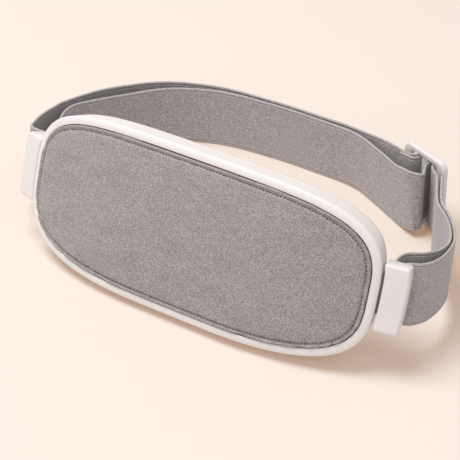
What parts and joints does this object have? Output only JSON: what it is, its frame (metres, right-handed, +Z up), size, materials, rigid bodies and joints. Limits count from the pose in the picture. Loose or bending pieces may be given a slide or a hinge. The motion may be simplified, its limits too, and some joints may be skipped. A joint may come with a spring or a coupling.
{
  "type": "heated waist belt",
  "caption": "Heated waist belt: oval cordless heating pad with plush face in a slim curved housing, hinged end lugs, and a doubled elastic strap ring with an adjuster.",
  "frame": {"origin": "under the middle of the belt's box, on the surface it stands on", "axes": "+X along the pad to the side with the strap adjuster, -Y the way the plush face looks, +Z up"},
  "size_m": [0.27, 0.178, 0.0907],
  "materials": {
    "white_shell": "satin moulded plastic",
    "white_lug": "satin moulded plastic",
    "white_slider": "satin moulded plastic",
    "white_button": "fine matte plastic",
    "plush": "short grey plush, sewn near its edge",
    "webbing": "knitted grey elastic with selvedges",
    "foam": "closed-cell foam",
    "film": "amber film",
    "board": "solder mask",
    "cell_wrap": "pouch foil",
    "clear_lens": "frosted clear plastic",
    "black_plastic": "matte",
    "steel": "plated steel"
  },
  "bodies": {
    "pad": {"front_shell": "white_shell", "rear_shell": "white_shell", "plush_cover": "plush", "heating_film": "film", "foam_layer": "foam", "temperature_sensor": "black_plastic", "control_board": "board", "light_window": "clear_lens", "charging_socket": "steel", "battery_cell_right": "cell_wrap", "battery_cell_left": "cell_wrap", "vibration_motor": "steel", "motor_saddle": "black_plastic", "massage_switch": "black_plastic", "power_switch": "black_plastic", "heat_switch": "black_plastic", "case_screw_1": "steel", "case_screw_2": "steel", "case_screw_3": "steel", "case_screw_4": "steel", "case_screw_5": "steel", "case_screw_6": "steel", "lug_pin_right": "steel", "lug_pin_left": "steel", "strap_outer": "webbing", "strap_inner": "webbing", "strap_right_inner": "webbing", "strap_right_outer": "webbing"},
    "right_lug": {"lug_right": "white_lug", "strap_loop_right": "webbing"},
    "left_lug": {"lug_left": "white_lug", "strap_loop_left": "webbing"},
    "adjuster": {"strap_slider": "white_slider", "strap_crossing": "webbing", "strap_tail": "webbing"},
    "weight": {"motor_weight": "steel"},
    "massage_key": {"massage_button": "white_button"},
    "power_key": {"power_button": "white_button"},
    "heat_key": {"heat_button": "white_button"}
  },
  "joints": [
    {"name": "right_lug_hinge", "type": "hinge", "parent": "pad", "child": "right_lug", "pos_m": [0.1088, -0.05512, 0.04142], "axis": [0, 0.309, 0.9511], "range_deg": [0, 12], "deforming": ["strap_right_inner", "strap_right_outer", "strap_loop_right"]},
    {"name": "left_lug_hinge", "type": "hinge", "parent": "pad", "child": "left_lug", "pos_m": [-0.08715, -0.05512, 0.04142], "axis": [0, -0.309, -0.9511], "range_deg": [0, 12], "deforming": ["strap_outer", "strap_inner", "strap_loop_left"]},
    {"name": "adjuster_slide", "type": "slide", "parent": "pad", "child": "adjuster", "axis": [0.9304, -0.3665, 0], "range_m": [-0.008, 0.008], "deforming": ["strap_crossing", "strap_tail"]},
    {"name": "motor_spin", "type": "hinge", "parent": "pad", "child": "weight", "pos_m": [0.00582, -0.05439, 0.06642], "axis": [1, 0, 0], "continuous": true},
    {"name": "massage_press", "type": "slide", "parent": "pad", "child": "massage_key", "axis": [0, -0.9511, 0.309], "range_m": [0, 0.0006], "stiffness_N_per_m": 400},
    {"name": "power_press", "type": "slide", "parent": "pad", "child": "power_key", "axis": [0, -0.9511, 0.309], "range_m": [0, 0.0006], "stiffness_N_per_m": 400},
    {"name": "heat_press", "type": "slide", "parent": "pad", "child": "heat_key", "axis": [0, -0.9511, 0.309], "range_m": [0, 0.0006], "stiffness_N_per_m": 400}
  ]
}
